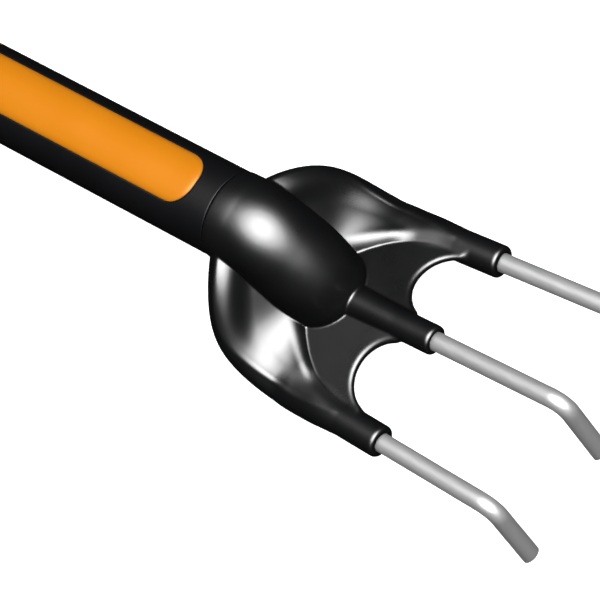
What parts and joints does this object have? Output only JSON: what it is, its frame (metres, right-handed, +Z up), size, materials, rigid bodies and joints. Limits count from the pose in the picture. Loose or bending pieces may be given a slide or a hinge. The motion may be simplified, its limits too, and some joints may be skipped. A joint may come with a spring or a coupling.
{
  "type": "hand cultivator",
  "caption": "Short-handled garden cultivator: bent steel rod tines in a webbed plastic head, round neck and soft-grip handle with a raised inlay and a hanging hole.",
  "frame": {"origin": "middle of the bounding box on the floor, with the tool resting on its two outer tine tips and the butt of the handle", "axes": "+X along the tool towards the tines, +Y to its left, +Z up"},
  "size_m": [0.2898, 0.0818, 0.0561],
  "materials": {
    "core_plastic": "hard matt plastic, hidden",
    "soft_grip": "smooth satin soft-touch rubber",
    "orange_plastic": "satin-gloss orange plastic",
    "head_plastic": "glossy black glass-filled plastic",
    "tine_steel": "satin bright steel rod",
    "pin_steel": "plain steel pin, hidden"
  },
  "bodies": {
    "root": {"handle_core": "core_plastic", "grip_sleeve": "soft_grip", "grip_inlay": "orange_plastic", "end_cap": "orange_plastic", "tang_pin": "pin_steel", "neck_shell": "head_plastic", "head_body": "head_plastic", "tine_left": "tine_steel", "tine_middle": "tine_steel", "tine_right": "tine_steel", "tine_pins": "pin_steel"}
  },
  "joints": []
}
